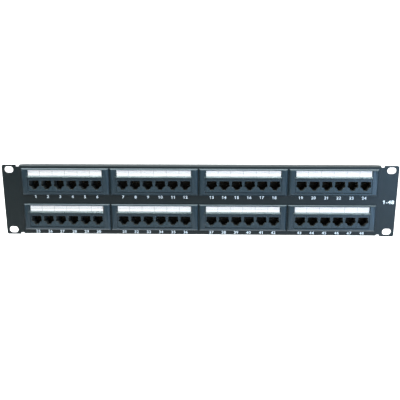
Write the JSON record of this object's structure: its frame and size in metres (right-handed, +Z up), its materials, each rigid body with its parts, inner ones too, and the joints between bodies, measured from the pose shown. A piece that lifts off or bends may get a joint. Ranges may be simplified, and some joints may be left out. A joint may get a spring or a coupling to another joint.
{
  "type": "patch panel",
  "caption": "Rack-mount network patch panel: folded steel front plate with slotted ears, snap-in socket modules, labels under clear covers, and punch-down rows behind.",
  "frame": {"origin": "centre of the front plate's rear face, the plane that rests on the rack rails", "axes": "+X along the width, to the right as seen from the front; +Y into the rack, away from the sockets' side; +Z up"},
  "size_m": [0.4826, 0.0306, 0.0882],
  "materials": {
    "powder_coat": "fine satin powder coat, near black",
    "housing_plastic": "satin moulded plastic, dark blue-grey",
    "jack_plastic": "satin moulded plastic, dark grey",
    "board_laminate": "green solder mask",
    "terminal_plastic": "satin moulded plastic, black",
    "label_paper": "matt white card",
    "clear_plastic": "clear moulded plastic",
    "contact_metal": "gold-plated spring wire and tinned clips",
    "print_ink": "screen-printed ink, pale blue-white"
  },
  "bodies": {
    "panel": {"front_panel": "powder_coat", "module_1_housing": "housing_plastic", "module_1_jack_block": "jack_plastic", "module_1_circuit_board": "board_laminate", "module_1_idc_upper": "terminal_plastic", "module_1_idc_lower": "terminal_plastic", "module_1_label_strip": "label_paper", "module_2_housing": "housing_plastic", "module_2_jack_block": "jack_plastic", "module_2_circuit_board": "board_laminate", "module_2_idc_upper": "terminal_plastic", "module_2_idc_lower": "terminal_plastic", "module_2_label_strip": "label_paper", "module_3_housing": "housing_plastic", "module_3_jack_block": "jack_plastic", "module_3_circuit_board": "board_laminate", "module_3_idc_upper": "terminal_plastic", "module_3_idc_lower": "terminal_plastic", "module_3_label_strip": "label_paper", "module_4_housing": "housing_plastic", "module_4_jack_block": "jack_plastic", "module_4_circuit_board": "board_laminate", "module_4_idc_upper": "terminal_plastic", "module_4_idc_lower": "terminal_plastic", "module_4_label_strip": "label_paper", "module_5_housing": "housing_plastic", "module_5_jack_block": "jack_plastic", "module_5_circuit_board": "board_laminate", "module_5_idc_upper": "terminal_plastic", "module_5_idc_lower": "terminal_plastic", "module_5_label_strip": "label_paper", "module_6_housing": "housing_plastic", "module_6_jack_block": "jack_plastic", "module_6_circuit_board": "board_laminate", "module_6_idc_upper": "terminal_plastic", "module_6_idc_lower": "terminal_plastic", "module_6_label_strip": "label_paper", "module_7_housing": "housing_plastic", "module_7_jack_block": "jack_plastic", "module_7_circuit_board": "board_laminate", "module_7_idc_upper": "terminal_plastic", "module_7_idc_lower": "terminal_plastic", "module_7_label_strip": "label_paper", "module_8_housing": "housing_plastic", "module_8_jack_block": "jack_plastic", "module_8_circuit_board": "board_laminate", "module_8_idc_upper": "terminal_plastic", "module_8_idc_lower": "terminal_plastic", "module_8_label_strip": "label_paper"},
    "module_1_cover": {"module_1_label_cover": "clear_plastic"},
    "module_2_cover": {"module_2_label_cover": "clear_plastic"},
    "module_3_cover": {"module_3_label_cover": "clear_plastic"},
    "module_4_cover": {"module_4_label_cover": "clear_plastic"},
    "module_5_cover": {"module_5_label_cover": "clear_plastic"},
    "module_6_cover": {"module_6_label_cover": "clear_plastic"},
    "module_7_cover": {"module_7_label_cover": "clear_plastic"},
    "module_8_cover": {"module_8_label_cover": "clear_plastic"}
  },
  "joints": [
    {"name": "module_1_cover_pull", "type": "slide", "parent": "panel", "child": "module_1_cover", "axis": [0, -1, 0], "range_m": [0, 0.012]},
    {"name": "module_2_cover_pull", "type": "slide", "parent": "panel", "child": "module_2_cover", "axis": [0, -1, 0], "range_m": [0, 0.012]},
    {"name": "module_3_cover_pull", "type": "slide", "parent": "panel", "child": "module_3_cover", "axis": [0, -1, 0], "range_m": [0, 0.012]},
    {"name": "module_4_cover_pull", "type": "slide", "parent": "panel", "child": "module_4_cover", "axis": [0, -1, 0], "range_m": [0, 0.012]},
    {"name": "module_5_cover_pull", "type": "slide", "parent": "panel", "child": "module_5_cover", "axis": [0, -1, 0], "range_m": [0, 0.012]},
    {"name": "module_6_cover_pull", "type": "slide", "parent": "panel", "child": "module_6_cover", "axis": [0, -1, 0], "range_m": [0, 0.012]},
    {"name": "module_7_cover_pull", "type": "slide", "parent": "panel", "child": "module_7_cover", "axis": [0, -1, 0], "range_m": [0, 0.012]},
    {"name": "module_8_cover_pull", "type": "slide", "parent": "panel", "child": "module_8_cover", "axis": [0, -1, 0], "range_m": [0, 0.012]}
  ]
}
